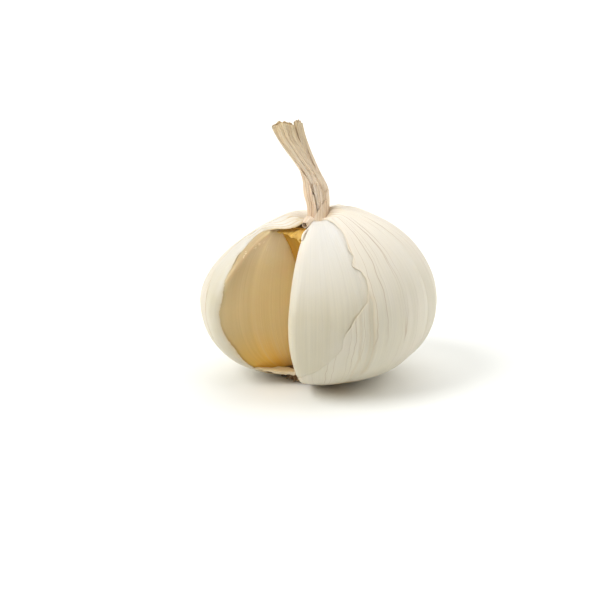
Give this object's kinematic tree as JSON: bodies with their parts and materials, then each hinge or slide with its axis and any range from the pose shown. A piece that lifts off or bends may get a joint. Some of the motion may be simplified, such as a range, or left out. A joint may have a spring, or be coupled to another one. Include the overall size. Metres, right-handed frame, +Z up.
{
  "type": "garlic bulb",
  "caption": "Whole garlic bulb with one clove taken out: papery skin torn open over the empty pocket, dried twisted neck, flat root plate to stand on.",
  "frame": {"origin": "centre of the basal plate's flat underside, on the surface that the bulb stands on", "axes": "+Z up along the bulb's axis; -Y is the front, where the empty pocket shows at the left; +X is to the right of it"},
  "size_m": [0.06, 0.0592, 0.0644],
  "materials": {
    "root_plate": "dry corky root plate with trimmed root stubs",
    "stem_core": "dry fibrous stem core",
    "clove_wrapper": "moist clove flesh under its tight tan wrapper, faint lengthwise veins",
    "inner_papery_skin": "smooth satin white papery skin with fine lengthwise veins",
    "torn_membrane": "thin brown translucent membrane, torn",
    "outer_papery_skin": "dry cream papery skin, faint pinkish brown veins, torn edges",
    "dried_neck": "dried twisted leaf sheath, lengthwise ridges, frayed end"
  },
  "bodies": {
    "root": {"basal_plate": "root_plate", "central_stalk": "stem_core", "clove_front": "clove_wrapper", "clove_front_right": "clove_wrapper", "clove_right": "clove_wrapper", "clove_back_right": "clove_wrapper", "clove_back": "clove_wrapper", "clove_back_left": "clove_wrapper", "clove_left": "clove_wrapper", "inner_skin": "inner_papery_skin", "inner_skin_left": "inner_papery_skin", "pocket_membrane": "torn_membrane", "outer_skin": "outer_papery_skin", "neck_main": "dried_neck", "neck_back": "dried_neck", "neck_side": "dried_neck", "neck_collar": "dried_neck"}
  },
  "joints": []
}
